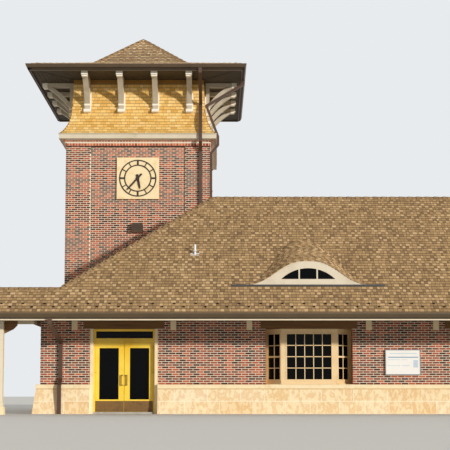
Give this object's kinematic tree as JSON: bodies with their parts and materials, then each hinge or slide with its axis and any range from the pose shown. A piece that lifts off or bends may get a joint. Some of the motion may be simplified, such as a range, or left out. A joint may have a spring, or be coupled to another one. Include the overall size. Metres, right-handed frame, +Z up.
{
  "type": "railway station building",
  "caption": "Brick railway station with a stone base, wide shingle hip roof, eyebrow dormer, canopy and square clock tower.",
  "frame": {"origin": "on the ground under the middle of the whole building", "axes": "+X along the platform front to the right, +Y from the platform towards the back, +Z up"},
  "size_m": [26.15, 13.41, 13.5628],
  "materials": {
    "brick": "red and dark brown bricks with pale mortar",
    "limestone": "warm cream sawn stone",
    "roof_shingle": "tan and brown mixed roof shingles",
    "wall_shingle": "golden stained shingles",
    "cream_paint": "cream painted timber",
    "yellow_paint": "yellow gloss painted timber",
    "dark_timber": "dark brown stained boards and beams",
    "bronze_metal": "bronze brown painted sheet metal",
    "pale_metal": "pale grey painted sheet metal",
    "aged_bronze": "dull bronze",
    "glass": "dark window glass",
    "concrete": "trowelled concrete",
    "white_paint": "white painted metal",
    "plaster": "plain ceiling boards"
  },
  "bodies": {
    "root": {"front_wall": "brick", "rear_wall": "brick", "end_walls": "brick", "floor": "concrete", "ceiling": "plaster", "base_stones": "limestone", "base_caps": "limestone", "corbel_blocks": "limestone", "door_surrounds": "limestone", "door_frames": "yellow_paint", "fixed_door_leaves": "yellow_paint", "fixed_door_glass": "glass", "fixed_door_hardware": "aged_bronze", "bay_window_frame": "cream_paint", "plain_window_frames": "cream_paint", "window_glass": "glass", "notice_board": "white_paint", "main_roof": "roof_shingle", "canopy_roof": "roof_shingle", "soffits": "dark_timber", "fascia_boards": "cream_paint", "gutters": "bronze_metal", "timber_beams": "dark_timber", "canopy_posts": "cream_paint", "canopy_post_feet": "limestone", "canopy_brackets": "dark_timber", "eyebrow_dormer": "cream_paint", "dormer_window_frame": "cream_paint", "dormer_window_glass": "glass", "vent_pipe": "pale_metal", "downspouts": "bronze_metal", "tower_front_wall": "brick", "tower_rear_wall": "brick", "tower_side_walls": "brick", "tower_corbel_band": "brick", "tower_cornice": "cream_paint", "tower_shingle_band": "wall_shingle", "tower_brackets": "cream_paint", "tower_roof": "roof_shingle", "clock_panels": "limestone", "clock_dials": "bronze_metal", "clock_arbors": "bronze_metal", "fixed_clock_hands": "bronze_metal", "wall_light": "bronze_metal"},
    "left_leaf": {"left_door_leaf": "yellow_paint", "left_door_glass": "glass", "left_door_hardware": "aged_bronze"},
    "right_leaf": {"right_door_leaf": "yellow_paint", "right_door_glass": "glass", "right_door_hardware": "aged_bronze"},
    "hour_hand": {"hour_hand": "bronze_metal"},
    "minute_hand": {"minute_hand": "bronze_metal"}
  },
  "joints": [
    {"name": "left_leaf_hinge", "type": "hinge", "parent": "root", "child": "left_leaf", "pos_m": [-3.3525, -4.267, 0.05], "axis": [0, 0, -1], "range_deg": [0, 90]},
    {"name": "right_leaf_hinge", "type": "hinge", "parent": "root", "child": "right_leaf", "pos_m": [-1.6575, -4.267, 0.05], "axis": [0, 0, 1], "range_deg": [0, 90]},
    {"name": "minute_hand_turn", "type": "hinge", "parent": "root", "child": "minute_hand", "pos_m": [-2.485, 0.515, 7.913], "axis": [0, 1, 0], "continuous": true},
    {"name": "hour_hand_turn", "type": "hinge", "parent": "root", "child": "hour_hand", "pos_m": [-2.485, 0.525, 7.913], "axis": [0, 1, 0], "continuous": true}
  ],
  "couplings": [
    {"joint": "hour_hand_turn", "follows": "minute_hand_turn", "ratio": 0.083333}
  ]
}
